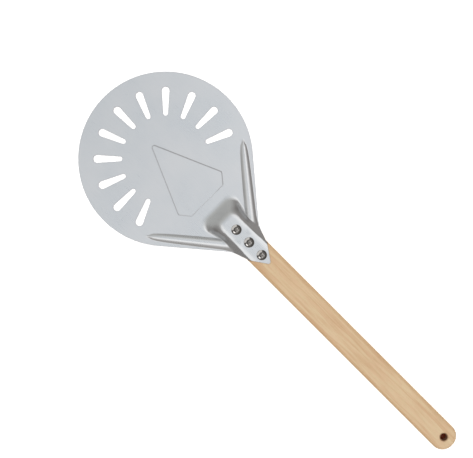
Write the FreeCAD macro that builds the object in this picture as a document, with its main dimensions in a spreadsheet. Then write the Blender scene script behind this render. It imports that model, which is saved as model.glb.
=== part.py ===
import FreeCAD, Part
import copy
import math
import os
import sys

import Sketcher

# Driving dimensions, in millimetres and degrees. Every body is drawn with the centre of the round
# blade at its own origin, +X along the handle and z = 0 at the underside. The bodies are then
# moved together, so that the middle of the peel's footprint is the origin of the finished part.
DIMENSIONS = {
    # trimmed outline of the sheet
    "gauge": 1.5,
    "blade_radius": 101.5,
    "waist_x": 130.7,
    "waist_half": 22.25,
    "waist_radius": 34.0,
    "shoulder_x": 151.7,
    "shoulder_half": 14.6,
    "tongue_x": 172.8,
    "tongue_radius": 2.4,
    "blank_radius": 205.0,
    "trim_radius": 230.0,
    # slots and panel of the round blade
    "slot_pitch_angle": 22.5,
    "slot_inner_x": 53.1,
    "slot_inner_radius": 2.8,
    "slot_outer_x": 79.4,
    "slot_outer_radius": 4.5,
    "panel_apex_x": 24.8,
    "panel_wide_x": 56.7,
    "panel_wide_half": 35.5,
    "panel_base_x": 68.6,
    "panel_base_half": 25.7,
    "panel_radius": 2.5,
    "panel_rise": 0.4,
    # pressed neck: the foot of its slopes on the blade and its flat deck above the handle
    "neck_rise": 14.0,
    "foot_front_x": 83.9,
    "foot_front_half": 26.3,
    "foot_front_radius": 10.0,
    "foot_side_x": 111.0,
    "foot_side_half": 20.3,
    "foot_side_radius": 30.0,
    "foot_back_x": 195.0,
    "foot_back_radius": 10.0,
    "deck_front_x": 97.8,
    "deck_front_half": 14.0,
    "deck_front_radius": 9.0,
    "deck_side_x": 118.0,
    "deck_side_half": 13.6,
    "deck_side_radius": 30.0,
    "deck_back_x": 184.0,
    "deck_back_radius": 7.0,
    "front_inset": 0.5,
    "flank_inset": 0.9,
    # stiffening ribs
    "rib_nose_x": 48.0,
    "rib_nose_half": 79.0,
    "rib_angle": 39.1,
    "rib_length": 106.0,
    "rib_half": 6.4,
    "rib_rise": 3.0,
    "rib_inset": 0.9,
    "rib_inner_delay": 2.5,
    # handle
    "handle_front_x": 107.5,
    "handle_front_radius": 10.0,
    "handle_end_x": 468.0,
    "handle_end_radius": 14.5,
    "handle_half": 15.5,
    "handle_thick": 14.0,
    "handle_edge_radius": 3.5,
    "seat_top_half": 8.2,
    "seat_knee_half": 12.0,
    "seat_knee_height": 12.0,
    "seat_side_height": 5.5,
    "seat_end_x": 158.0,
    "seat_lead": 12.0,
    "seat_runout": 8.0,
    "seat_shift": 6.5,
    "seat_cutter_half": 20.0,
    "seat_cutter_top": 18.0,
    "hang_hole_x": 454.2,
    "hang_hole_radius": 4.0,
    "hang_hole_chamfer": 1.5,
    # fasteners
    "screw_front_x": 116.4,
    "screw_pitch": 20.6,
    "screw_hole_radius": 2.75,
    "screw_radius": 2.45,
    "screw_length": 12.0,
    "head_radius": 6.0,
    "head_height": 3.2,
    "head_rim": 0.6,
    "head_dome_radius": 8.22,
    "socket_width": 4.0,
    "socket_depth": 2.2,
    "nut_radius": 3.5,
    "nut_hole_radius": 3.6,
    "nut_bore_radius": 2.5,
    "nut_length": 10.0,
    "flange_radius": 4.7,
    "flange_thick": 1.8,
    "flange_bevel": 0.4,
    "counterbore_radius": 5.0,
    "counterbore_depth": 2.0,
    "driver_slot_half": 0.7,
    "driver_slot_depth": 0.9,
}
SIZES = "Sizes"
START, END, CENTRE = 1, 2, 3
ORIGIN = (-1, START)
X_AXIS = -1
Y_AXIS = -2
# Levels of the pressed neck: how far from the foot's outline to the deck's, and how far up.
# The slopes are straight between two soft bends.
NECK_LEVELS = [
    (-0.32, 0.0),
    (-0.14, 0.017),
    (0.018, 0.067),
    (0.143, 0.149),
    (0.5, 0.5),
    (0.857, 0.851),
    (0.982, 0.933),
    (1.14, 0.983),
    (1.32, 1.0),
]
# Sections of a rib, nose to neck: share of its length, of its half width and of its rise.
RIB_SECTIONS = [
    (0.0, 0.12, 0.10),
    (0.07, 0.55, 0.50),
    (0.20, 0.76, 0.80),
    (0.55, 0.92, 0.96),
    (0.82, 1.0, 1.0),
    (1.0, 1.25, 1.4),
]
SLOT_COUNT = 11
SCREW_NAMES = ("front", "middle", "rear")
HEXAGON_SIDES = 6
# Corners of the cutter for the seat: how far out and how high.
SEAT_CORNERS = [
    ("seat_top_half", "seat_cutter_top"),
    ("seat_top_half", "handle_thick"),
    ("seat_knee_half", "seat_knee_height"),
    ("handle_half", "seat_side_height"),
    ("seat_cutter_half", "seat_side_height"),
    ("seat_cutter_half", "seat_cutter_top"),
]
# Stations of the seat cut along the handle, and whether the cutter has moved clear by then.
SEAT_STATIONS = [
    ("{handle_front_x} - {seat_lead}", False),
    ("{seat_end_x}", False),
    ("{seat_end_x} + {seat_runout}", True),
]


def make_sheet(doc):
    """The spreadsheet of driving dimensions, one aliased cell each."""
    sheet = doc.addObject("Spreadsheet::Sheet", SIZES)
    for row, (name, value) in enumerate(DIMENSIONS.items(), start=1):
        sheet.set("A%d" % row, name)
        sheet.set("B%d" % row, str(value))
        sheet.setAlias("B%d" % row, name)
    doc.recompute()
    return sheet


def bind(thing, path, formula):
    """Tie a property of an object to the spreadsheet; {name} stands for the cell called name."""
    cells = {name: "%s.%s" % (SIZES, name) for name in DIMENSIONS}
    thing.setExpression(path, formula.format(**cells))


def start_body(doc, label):
    body = doc.addObject("PartDesign::Body", "Body_" + label)
    body.Label = label
    return body


def origin_plane(body, role):
    return [item for item in body.Origin.OriginFeatures if item.Role == role][0]


def start_sketch(body, name, role="XY_Plane", height=None):
    """An empty sketch on one of the body's origin planes, lifted along its normal by a formula."""
    sketch = body.newObject("Sketcher::SketchObject", name)
    sketch.AttachmentSupport = [(origin_plane(body, role), "")]
    sketch.MapMode = "FlatFace"
    if height is not None:
        bind(sketch, "AttachmentOffset.Base.z", height)
    return sketch


class Size:
    """A named size, or a blend of two, known both as a number and as a spreadsheet formula."""

    def __init__(self, name, other=None, share=0.0, inset=None, inset_sign=1, negative=False):
        self.value = DIMENSIONS[name]
        self.formula = "{%s}" % name
        if other:
            self.value += share * (DIMENSIONS[other] - DIMENSIONS[name])
            self.formula += " + %.3f * ({%s} - {%s})" % (share, other, name)
        if inset:
            self.value += inset_sign * DIMENSIONS[inset]
            self.formula += " %s {%s}" % ("+" if inset_sign > 0 else "-", inset)
        self.negative = negative

    def opposite(self):
        """The same size, measured towards the other side of the origin."""
        twin = copy.copy(self)
        twin.negative = not self.negative
        return twin

    def place(self):
        return -self.value if self.negative else self.value


def drive(sketch, constraint, formula):
    """Add a constraint whose value follows a formula."""
    index = sketch.addConstraint(constraint)
    name = "size%d" % len(sketch.ExpressionEngine)
    sketch.renameConstraint(index, name)
    bind(sketch, "Constraints." + name, formula)


def pin_coordinate(sketch, kind, point, size):
    """Hold one coordinate of a point at a size, on its own side of the origin."""
    ends = point + ORIGIN if size.negative else ORIGIN + point
    drive(sketch, Sketcher.Constraint(kind, *ends, size.value), size.formula)


def pin_point(sketch, point, x, y):
    """Hold a point at two sizes; None puts it on that axis."""
    if x is None:
        sketch.addConstraint(Sketcher.Constraint("PointOnObject", *point, Y_AXIS))
    else:
        pin_coordinate(sketch, "DistanceX", point, x)
    if y is None:
        sketch.addConstraint(Sketcher.Constraint("PointOnObject", *point, X_AXIS))
    else:
        pin_coordinate(sketch, "DistanceY", point, y)


def position(x, y):
    return FreeCAD.Vector(x.place() if x else 0.0, y.place() if y else 0.0, 0.0)


def with_mirror_image(upper):
    """Corners of the +Y side, front to back, followed by the same on the -Y side, back to front."""
    return upper + [(x, y.opposite(), radius) for x, y, radius in reversed(upper) if y]


def round_corner(sketch, line, radius):
    """Round the corner at the start of a line."""
    arc = sketch.GeometryCount
    sketch.fillet(line, START, radius.value, True, True)
    drive(sketch, Sketcher.Constraint("Radius", arc, radius.value), radius.formula)


def draw_polygon(sketch, corners):
    """A closed polygon of (x, y, corner radius or None), all held at their sizes."""
    points = [position(x, y) for x, y, _ in corners]
    count = len(points)
    first = sketch.GeometryCount
    for index in range(count):
        sketch.addGeometry(Part.LineSegment(points[index], points[(index + 1) % count]))
    for index in range(count):
        after = first + (index + 1) % count
        sketch.addConstraint(Sketcher.Constraint("Coincident", first + index, END, after, START))
    for index, (x, y, _) in enumerate(corners):
        pin_point(sketch, (first + index, START), x, y)
    for index, (_, _, radius) in enumerate(corners):
        if radius:
            round_corner(sketch, first + index, radius)


def draw_circle(sketch, x, radius):
    """A circle centred on the X axis; an x of None centres it on the origin."""
    centre = position(x, None)
    circle = sketch.addGeometry(Part.Circle(centre, FreeCAD.Vector(0, 0, 1), radius.value))
    pin_point(sketch, (circle, CENTRE), x, None)
    drive(sketch, Sketcher.Constraint("Radius", circle, radius.value), radius.formula)


def pad(body, sketch, length):
    feature = body.newObject("PartDesign::Pad", "Pad_" + sketch.Name)
    feature.Profile = sketch
    bind(feature, "Length", length)
    return feature


def pocket(body, sketch, length, reversed_cut=False):
    feature = body.newObject("PartDesign::Pocket", "Pocket_" + sketch.Name)
    feature.Profile = sketch
    feature.Reversed = reversed_cut
    bind(feature, "Length", length)
    return feature


def loft(body, kind, sketches, ruled=False):
    feature = body.newObject("PartDesign::%sLoft" % kind, kind + "_" + sketches[0].Name)
    feature.Profile = sketches[0]
    feature.Sections = sketches[1:]
    feature.Ruled = ruled
    return feature


def mirror(body, originals):
    feature = body.newObject("PartDesign::Mirrored", "Mirror_" + originals[0].Name)
    feature.Originals = originals
    feature.MirrorPlane = (origin_plane(body, "XZ_Plane"), [""])
    body.Tip = feature
    return feature


def neck_corners(share, inside):
    """Corners of one level of the neck, from its foot (share 0) to its deck (share 1) and beyond."""
    front = "front_inset" if inside else None
    flank = "flank_inset" if inside else None

    def level(name, inset=None, inset_sign=1):
        return Size("foot_" + name, "deck_" + name, share, inset, inset_sign)

    def side():
        return level("side_half", flank, -1)

    return with_mirror_image([
        (level("front_x", front), level("front_half", flank, -1), level("front_radius")),
        (level("side_x"), side(), level("side_radius")),
        (level("back_x"), side(), level("back_radius")),
    ])


def neck_form(body, kind, inside):
    """The neck as a loft through its levels: a soft foot, straight slopes and rounded deck edges."""
    sketches = []
    for index, (share, rise) in enumerate(NECK_LEVELS):
        height = "%.3f * {neck_rise}" % rise
        if not inside:
            height += " + {gauge}"
        sketch = start_sketch(body, "%s_level_%d" % (kind, index), height=height)
        draw_polygon(sketch, neck_corners(share, inside))
        sketches.append(sketch)
    return loft(body, kind, sketches)


def stand_across_rib(sketch, along, inside):
    """Stand a sketch upright across the +Y rib, on the sheet's face, at a share of its length."""
    about_up = FreeCAD.Rotation(FreeCAD.Vector(0, 0, 1), -90 - DIMENSIONS["rib_angle"])
    upright = FreeCAD.Rotation(FreeCAD.Vector(1, 0, 0), 90)
    sketch.AttachmentOffset = FreeCAD.Placement(FreeCAD.Vector(), about_up * upright)
    travel = "(%.3f * {rib_length}%s)" % (along, " + {rib_inner_delay}" if inside else "")
    bind(sketch, "AttachmentOffset.Base.x", "{rib_nose_x} + cos({rib_angle}) * " + travel)
    bind(sketch, "AttachmentOffset.Base.y", "{rib_nose_half} - sin({rib_angle}) * " + travel)
    bind(sketch, "AttachmentOffset.Base.z", "0" if inside else "{gauge}")


def draw_dome(sketch, half, rise):
    """A circular arc of a half width and a rise, each (value, formula), closed by its chord."""
    left, right, top = (
        FreeCAD.Vector(x, y, 0) for x, y in ((-half[0], 0), (half[0], 0), (0, rise[0]))
    )
    chord = sketch.addGeometry(Part.LineSegment(left, right))
    dome = sketch.addGeometry(Part.Arc(right, top, left))
    sketch.addConstraint(Sketcher.Constraint("Coincident", chord, END, dome, START))
    sketch.addConstraint(Sketcher.Constraint("Coincident", chord, START, dome, END))
    sketch.addConstraint(Sketcher.Constraint("Symmetric", chord, START, chord, END, *ORIGIN))
    sketch.addConstraint(Sketcher.Constraint("Horizontal", chord))
    span = Sketcher.Constraint("DistanceX", chord, START, chord, END, 2 * half[0])
    drive(sketch, span, "2 * " + half[1])
    radius = (half[0] ** 2 + rise[0] ** 2) / (2 * rise[0])
    radius_formula = "((%s)^2 + (%s)^2) / (2 * %s)" % (half[1], rise[1], rise[1])
    drive(sketch, Sketcher.Constraint("Radius", dome, radius), radius_formula)


def rib_section(body, name, section, inside):
    """One domed section of the +Y rib; the inside face of the sheet is narrower."""
    along, width, rise = section
    sketch = start_sketch(body, name)
    stand_across_rib(sketch, along, inside)
    half = Size("rib_half", inset="rib_inset" if inside else None, inset_sign=-1)
    draw_dome(
        sketch,
        (width * half.value, "%.3f * (%s)" % (width, half.formula)),
        (rise * DIMENSIONS["rib_rise"], "%.3f * {rib_rise}" % rise),
    )
    return sketch


def rib_form(body, kind, inside):
    """One rib lofted through its sections, and its twin on the other side."""
    sketches = [
        rib_section(body, "%s_rib_%d" % (kind, index), section, inside)
        for index, section in enumerate(RIB_SECTIONS)
    ]
    return mirror(body, [loft(body, kind, sketches)])


def build_blade(doc):
    """The pressed and trimmed sheet: disc, panel, slots, ribs, neck and tongue in one piece."""
    body = start_body(doc, "blade")
    blank = start_sketch(body, "blank")
    draw_circle(blank, None, Size("blank_radius"))
    pad(body, blank, "{gauge}")
    raised = start_sketch(body, "raised_panel", height="{gauge}")
    draw_polygon(raised, panel_corners())
    pad(body, raised, "{panel_rise}")
    neck_form(body, "Additive", inside=False)
    rib_form(body, "Additive", inside=False)
    neck_form(body, "Subtractive", inside=True)
    rib_form(body, "Subtractive", inside=True)
    recess = start_sketch(body, "panel_recess")
    draw_polygon(recess, panel_corners())
    pocket(body, recess, "{panel_rise}", reversed_cut=True)
    trim = start_sketch(body, "trim")
    draw_circle(trim, None, Size("trim_radius"))
    draw_outline(trim)
    pocket(body, trim, "{neck_rise} + 2 * {gauge}", reversed_cut=True)
    cut_slots(body)
    cut_fastener_holes(body, "screw_hole_radius", "{neck_rise} + 2 * {gauge}")
    return body


def panel_corners():
    radius = Size("panel_radius")
    return with_mirror_image([
        (Size("panel_apex_x", negative=True), None, radius),
        (Size("panel_wide_x"), Size("panel_wide_half"), radius),
        (Size("panel_base_x"), Size("panel_base_half"), radius),
    ])


def draw_outline(sketch):
    """The trimmed outline: a disc, straight tapers, a concave waist and a pointed tongue."""
    radius = Size("blade_radius")
    waist_x, waist_half = Size("waist_x"), Size("waist_half")
    shoulder_x, shoulder_half = Size("shoulder_x"), Size("shoulder_half")
    bearing = math.atan2(waist_half.value, waist_x.value)
    touch = bearing + math.acos(radius.value / math.hypot(waist_x.value, waist_half.value))
    circle = Part.Circle(FreeCAD.Vector(), FreeCAD.Vector(0, 0, 1), radius.value)
    disc = sketch.addGeometry(Part.ArcOfCircle(circle, touch, 2 * math.pi - touch))
    upper_touch, lower_touch = (
        FreeCAD.Vector(radius.value * math.cos(touch), sign * radius.value * math.sin(touch), 0)
        for sign in (1, -1)
    )
    corners = [
        (waist_x, waist_half, Size("waist_radius")),
        (shoulder_x, shoulder_half, None),
        (Size("tongue_x"), None, Size("tongue_radius")),
        (shoulder_x, shoulder_half.opposite(), None),
        (waist_x, waist_half.opposite(), Size("waist_radius")),
    ]
    stations = [upper_touch] + [position(x, y) for x, y, _ in corners] + [lower_touch]
    lines = [
        sketch.addGeometry(Part.LineSegment(start, end))
        for start, end in zip(stations, stations[1:])
    ]
    sketch.addConstraint(Sketcher.Constraint("Coincident", disc, CENTRE, *ORIGIN))
    drive(sketch, Sketcher.Constraint("Radius", disc, radius.value), radius.formula)
    sketch.addConstraint(Sketcher.Constraint("Tangent", lines[0], START, disc, START))
    sketch.addConstraint(Sketcher.Constraint("Tangent", lines[-1], END, disc, END))
    for before, after, (x, y, _) in zip(lines, lines[1:], corners):
        sketch.addConstraint(Sketcher.Constraint("Coincident", before, END, after, START))
        pin_point(sketch, (after, START), x, y)
    for after, (_, _, rounding) in zip(lines[1:], corners):
        if rounding:
            round_corner(sketch, after, rounding)


def cut_slots(body):
    """Tapered slots with round ends, set like rays around the front of the disc."""
    sketch = start_sketch(body, "slot")
    inner_x, outer_x = Size("slot_inner_x"), Size("slot_outer_x")
    inner_radius, outer_radius = Size("slot_inner_radius"), Size("slot_outer_radius")
    normal = FreeCAD.Vector(0, 0, 1)
    inner = Part.Circle(position(inner_x, None), normal, inner_radius.value)
    outer = Part.Circle(position(outer_x, None), normal, outer_radius.value)
    lean = math.acos((inner_radius.value - outer_radius.value) / (outer_x.value - inner_x.value))
    inner_arc = sketch.addGeometry(Part.ArcOfCircle(inner, lean, 2 * math.pi - lean))
    outer_arc = sketch.addGeometry(Part.ArcOfCircle(outer, -lean, lean))
    upper = sketch.addGeometry(Part.LineSegment(inner.value(lean), outer.value(lean)))
    lower = sketch.addGeometry(Part.LineSegment(outer.value(-lean), inner.value(-lean)))
    for arc, x, radius in ((inner_arc, inner_x, inner_radius), (outer_arc, outer_x, outer_radius)):
        pin_point(sketch, (arc, CENTRE), x, None)
        drive(sketch, Sketcher.Constraint("Radius", arc, radius.value), radius.formula)
    for line, line_end, arc, arc_end in (
        (upper, START, inner_arc, START),
        (upper, END, outer_arc, END),
        (lower, START, outer_arc, START),
        (lower, END, inner_arc, END),
    ):
        sketch.addConstraint(Sketcher.Constraint("Tangent", line, line_end, arc, arc_end))
    spread = (SLOT_COUNT - 1) / 2
    bind(sketch, "AttachmentOffset.Rotation.Angle", "180 - %.1f * {slot_pitch_angle}" % spread)
    cut = pocket(body, sketch, "3 * {gauge}", reversed_cut=True)
    ring = body.newObject("PartDesign::PolarPattern", "slots")
    ring.Originals = [cut]
    ring.Axis = (sketch, ["N_Axis"])
    ring.Occurrences = SLOT_COUNT
    bind(ring, "Angle", "%d * {slot_pitch_angle}" % (SLOT_COUNT - 1))
    body.Tip = ring


def cut_fastener_holes(body, radius_name, depth):
    """The row of holes for the three fasteners, cut upwards from the underside."""
    sketch = start_sketch(body, radius_name)
    draw_circle(sketch, Size("screw_front_x"), Size(radius_name))
    cut = pocket(body, sketch, depth, reversed_cut=True)
    row = body.newObject("PartDesign::LinearPattern", "row_" + radius_name)
    row.Originals = [cut]
    row.Direction = (sketch, ["H_Axis"])
    row.Occurrences = len(SCREW_NAMES)
    bind(row, "Length", "%d * {screw_pitch}" % (len(SCREW_NAMES) - 1))
    body.Tip = row


def build_handle(doc):
    """A flat wooden bar, rounded all round, shaped at its front to seat inside the neck."""
    body = start_body(doc, "handle")
    half = Size("handle_half")
    plan = start_sketch(body, "plan")
    draw_polygon(plan, with_mirror_image([
        (Size("handle_front_x"), half, Size("handle_front_radius")),
        (Size("handle_end_x"), half, Size("handle_end_radius")),
    ]))
    bar = pad(body, plan, "{handle_thick}")
    doc.recompute()
    rims = [
        "Edge%d" % index
        for index, edge in enumerate(bar.Shape.Edges, start=1)
        if edge.BoundBox.ZLength < 1e-6
    ]
    rounding = body.newObject("PartDesign::Fillet", "rounding")
    rounding.Base = (bar, rims)
    bind(rounding, "Radius", "{handle_edge_radius}")
    mirror(body, [cut_seat(body)])
    cut_fastener_holes(body, "nut_hole_radius", "{handle_thick}")
    cut_fastener_holes(body, "counterbore_radius", "{counterbore_depth}")
    drill_hanging_hole(doc, body)
    return body


def cut_seat(body):
    """Take down one top edge of the bar where the neck's slope passes, and run the cut out."""
    sketches = []
    for index, (station, moved) in enumerate(SEAT_STATIONS):
        sketch = start_sketch(body, "seat_%d" % index, role="YZ_Plane", height=station)
        draw_polygon(sketch, [
            (Size(across, inset="seat_shift" if moved else None), Size(height), None)
            for across, height in SEAT_CORNERS
        ])
        sketches.append(sketch)
    return loft(body, "Subtractive", sketches, ruled=True)


def is_rim(edge, x):
    """Whether an edge is a level circle centred at x."""
    centre = getattr(edge.Curve, "Center", None)
    return bool(centre) and abs(centre.x - x) < 1e-6 and edge.BoundBox.ZLength < 1e-6


def drill_hanging_hole(doc, body):
    sketch = start_sketch(body, "hanging_hole")
    draw_circle(sketch, Size("hang_hole_x"), Size("hang_hole_radius"))
    hole = pocket(body, sketch, "{handle_thick}", reversed_cut=True)
    doc.recompute()
    rims = [
        "Edge%d" % index
        for index, edge in enumerate(hole.Shape.Edges, start=1)
        if is_rim(edge, DIMENSIONS["hang_hole_x"])
    ]
    chamfer = body.newObject("PartDesign::Chamfer", "hanging_hole_edges")
    chamfer.Base = (hole, rims)
    bind(chamfer, "Size", "{hang_hole_chamfer}")


def revolve(body, sketch):
    """Revolve a half profile drawn in the XZ plane about the Z axis."""
    feature = body.newObject("PartDesign::Revolution", "turned")
    feature.Profile = sketch
    feature.ReferenceAxis = (sketch, ["V_Axis"])
    feature.Angle = 360
    return feature


def build_screw(doc, label):
    """A screw with a domed head and a hexagon socket; z = 0 is the underside of its head."""
    body = start_body(doc, label)
    sketch = start_sketch(body, "half_profile", role="XZ_Plane")
    tip = Size("screw_length", negative=True)
    shank, head = Size("screw_radius"), Size("head_radius")
    draw_polygon(sketch, [
        (None, tip, None),
        (shank, tip, None),
        (shank, None, None),
        (head, None, None),
        (head, Size("head_rim"), None),
        (None, Size("head_height"), None),
    ])
    bow_last_side(sketch, Size("head_dome_radius"))
    revolve(body, sketch)
    socket = start_sketch(body, "socket", height="{head_height}")
    draw_hexagon(socket, Size("socket_width"))
    pocket(body, socket, "{socket_depth}")
    return body


def bow_last_side(sketch, radius):
    """Swap the sloping side that runs up to the axis for an arc centred on the axis."""
    side = sketch.GeometryCount - 2
    line = sketch.Geometry[side]
    rim, crown = line.StartPoint, line.EndPoint
    centre = FreeCAD.Vector(0, crown.y - radius.value, 0)
    start, end = (math.atan2(point.y - centre.y, point.x - centre.x) for point in (rim, crown))
    circle = Part.Circle(centre, FreeCAD.Vector(0, 0, 1), radius.value)
    sketch.toggleConstruction(side)
    arc = sketch.addGeometry(Part.ArcOfCircle(circle, start, end))
    sketch.addConstraint(Sketcher.Constraint("Coincident", arc, START, side, START))
    sketch.addConstraint(Sketcher.Constraint("Coincident", arc, END, side, END))
    drive(sketch, Sketcher.Constraint("Radius", arc, radius.value), radius.formula)


def draw_hexagon(sketch, width):
    """A regular hexagon around the origin, two corners on the X axis, of a width across flats."""
    reach = width.value / math.sqrt(3)
    corners = [
        FreeCAD.Vector(reach * math.cos(angle), reach * math.sin(angle), 0)
        for angle in (step * math.pi / 3 for step in range(HEXAGON_SIDES))
    ]
    circle = sketch.addGeometry(Part.Circle(FreeCAD.Vector(), FreeCAD.Vector(0, 0, 1), reach), True)
    sketch.addConstraint(Sketcher.Constraint("Coincident", circle, CENTRE, *ORIGIN))
    drive(sketch, Sketcher.Constraint("Radius", circle, reach), "(%s) / sqrt(3)" % width.formula)
    sides = [
        sketch.addGeometry(Part.LineSegment(start, end))
        for start, end in zip(corners, corners[1:] + corners[:1])
    ]
    for side, after in zip(sides, sides[1:] + sides[:1]):
        sketch.addConstraint(Sketcher.Constraint("Coincident", side, END, after, START))
        sketch.addConstraint(Sketcher.Constraint("PointOnObject", side, START, circle))
    for side in sides[1:]:
        sketch.addConstraint(Sketcher.Constraint("Equal", sides[0], side))
    sketch.addConstraint(Sketcher.Constraint("PointOnObject", sides[0], START, X_AXIS))


def build_barrel_nut(doc, label):
    """A flanged barrel nut; z = 0 is the outer face of its flange, which has a driver slot."""
    body = start_body(doc, label)
    sketch = start_sketch(body, "half_profile", role="XZ_Plane")
    flange, barrel, bore = Size("flange_radius"), Size("nut_radius"), Size("nut_bore_radius")
    face = Size("flange_thick")
    top = Size("flange_thick", inset="nut_length")
    bevel = Size("flange_bevel")
    draw_polygon(sketch, [
        (Size("flange_radius", inset="flange_bevel", inset_sign=-1), None, None),
        (flange, bevel, None),
        (flange, face, None),
        (barrel, face, None),
        (barrel, top, None),
        (bore, top, None),
        (bore, face, None),
        (None, face, None),
        (None, None, None),
    ])
    revolve(body, sketch)
    slot = start_sketch(body, "driver_slot")
    half_width = Size("driver_slot_half")
    draw_polygon(slot, with_mirror_image([
        (flange.opposite(), half_width, None),
        (flange, half_width, None),
    ]))
    pocket(body, slot, "{driver_slot_depth}", reversed_cut=True)
    return body


def place(body, along="0", height="0"):
    """Put a body along the handle and at a height, in the frame of the finished part."""
    bind(body, "Placement.Base.x", along + " - ({handle_end_x} - {blade_radius}) / 2")
    bind(body, "Placement.Base.z", height)


def check_document(doc):
    """Stop if any object of the document has failed."""
    failed = [item.Name for item in doc.Objects if {"Invalid", "Error"} & set(item.State)]
    if failed:
        sys.exit("failed objects: " + ", ".join(failed))


def write_parts(bodies):
    for body in bodies:
        if body.Shape.isNull() or not body.Shape.isValid():
            sys.exit("bad shape: " + body.Label)
    os.makedirs("parts", exist_ok=True)
    for body in bodies:
        body.Shape.exportStep("parts/%s.step" % body.Label)
        print("%-18s %10.1f mm3" % (body.Label, body.Shape.Volume))


def main():
    doc = FreeCAD.newDocument("pizza_peel")
    make_sheet(doc)
    bodies = [build_blade(doc), build_handle(doc)]
    for body in bodies:
        place(body)
    for index, name in enumerate(SCREW_NAMES):
        along = "{screw_front_x} + %d * {screw_pitch}" % index
        screw = build_screw(doc, "screw_" + name)
        place(screw, along, "{neck_rise} + {gauge}")
        nut = build_barrel_nut(doc, "barrel_nut_" + name)
        place(nut, along, "{counterbore_depth} - {flange_thick}")
        bodies += [screw, nut]
    doc.recompute()
    check_document(doc)
    write_parts(bodies)


main()
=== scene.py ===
"""Looks of a pizza peel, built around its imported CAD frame."""
import math

import bmesh
import bpy
import numpy as np
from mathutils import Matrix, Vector, geometry, kdtree


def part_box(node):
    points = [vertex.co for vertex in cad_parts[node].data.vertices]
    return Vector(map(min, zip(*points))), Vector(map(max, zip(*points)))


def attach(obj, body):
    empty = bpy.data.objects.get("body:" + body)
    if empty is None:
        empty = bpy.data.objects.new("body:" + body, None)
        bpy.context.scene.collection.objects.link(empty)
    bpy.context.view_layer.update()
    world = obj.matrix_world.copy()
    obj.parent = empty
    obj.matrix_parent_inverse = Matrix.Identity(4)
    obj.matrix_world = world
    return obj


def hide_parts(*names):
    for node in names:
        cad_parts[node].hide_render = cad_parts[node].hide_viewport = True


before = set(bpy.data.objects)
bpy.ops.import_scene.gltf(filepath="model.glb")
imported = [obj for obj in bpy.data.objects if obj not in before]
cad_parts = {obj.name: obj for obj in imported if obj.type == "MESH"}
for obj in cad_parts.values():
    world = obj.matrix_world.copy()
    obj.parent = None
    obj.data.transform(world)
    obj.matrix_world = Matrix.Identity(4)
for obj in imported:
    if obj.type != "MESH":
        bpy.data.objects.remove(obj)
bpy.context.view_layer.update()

# Lengths are in millimetres, measured from the centre of the round blade along the handle (x),
# across it (y) and up from the underside (z). They are turned into the frame's metres on leaving.
MM = 0.001
GAUGE = 1.5
DISC_RADIUS = 101.5
WAIST, WAIST_RADIUS = (130.7, 22.25), 34.0
SHOULDER = (151.7, 14.6)
TONGUE, TONGUE_RADIUS = (172.8, 0.0), 2.4
SLOT_COUNT, SLOT_PITCH = 11, math.radians(22.5)
SLOT_INNER, SLOT_INNER_RADIUS = 53.1, 2.8
SLOT_OUTER, SLOT_OUTER_RADIUS = 79.4, 4.5
PANEL = [(-24.8, 0.0), (56.7, -35.5), (68.6, -25.7), (68.6, 25.7), (56.7, 35.5)]
PANEL_RADIUS, PANEL_RISE, PANEL_RAMP = 2.5, 0.4, 0.5
NECK_RISE = 14.0
# Outline of the neck at its foot and at its deck: front x, front half width, front corner radius,
# side x and side half width.
FOOT = np.array([83.9, 26.3, 10.0, 111.0, 20.3])
DECK = np.array([97.8, 14.0, 9.0, 118.0, 13.6])
NECK_SIDE_RADIUS = 30.0
# The deck falls away beyond this y, by this much at its sides.
CROWN_START, CROWN_DROP = 6.0, 0.95
# Share of the neck's rise at each level, from just outside its foot (0) to its deck (1).
NECK_SHARES = [-0.32, -0.14, 0.018, 0.143, 0.5, 0.857, 0.982, 1.14, 1.32]
NECK_RISES = [0.0, 0.017, 0.067, 0.149, 0.5, 0.851, 0.933, 0.983, 1.0]
# The neck lies beyond this x and within this y. Its levels are searched for by halving.
NECK_REGION, NECK_SHARE_RANGE, NECK_HALVINGS = (70, 40), (-0.6, 1.6), 30
RIB_NOSE, RIB_ANGLE, RIB_LENGTH = (48.0, 79.0), math.radians(39.1), 106.0
RIB_HALF, RIB_RISE = 6.4, 3.0
# How steeply a rib falls before its nose, and how far past its length it starts to fall again.
RIB_NOSE_SLOPE, RIB_TAIL = 0.8, 4
# Half width and height along a rib, as shares of their full sizes.
RIB_SHARES = [0.0, 0.07, 0.20, 0.55, 0.82, 1.0]
RIB_WIDTHS = [0.12, 0.55, 0.76, 0.92, 1.0, 1.25]
RIB_RISES = [0.10, 0.50, 0.80, 0.96, 1.0, 1.4]
SCREW_X, SCREW_PITCH = 116.4, 20.6
SCREW_PLACES = [SCREW_X + SCREW_PITCH * k for k in range(3)]
SCREW_NAMES = ("front", "middle", "rear")
SCREW_HOLE_RADIUS = 2.75
HANDLE_FRONT, HANDLE_END, HANDLE_HALF, HANDLE_THICK = 107.5, 468.0, 15.5, 14.0
HANDLE_FRONT_RADIUS, HANDLE_END_RADIUS, HANDLE_EDGE = 10.0, 14.5, 3.5
HANG_X, HANG_RADIUS, HANG_RIM = 454.2, 4.0, 1.5
NUT_HOLE_RADIUS, COUNTERBORE_RADIUS, COUNTERBORE_DEPTH = 3.6, 5.0, 2.0
# How sharply neck and ribs run together: higher is sharper.
BLEND = 2.5
# How much painted shade darkens the sheet in the hollows beside the neck.
HOLLOW_SHADE = 0.8
# Rounding of the sheet's cut edges, and the steps that it takes.
CUT_RADIUS, CUT_STEPS = 0.25, 3
HANDLE_EDGE_STEPS = 8
# The gap that the wood keeps under the neck, and the least height left for it there.
WOOD_CLEARANCE, WOOD_LEAST = 0.04, 1.0
SCREW_SEGMENTS, SCREW_CREASE = 96, math.radians(34)
SCREW_DOME_RADIUS, SCREW_CROWN = 8.22, 3.2

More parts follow.
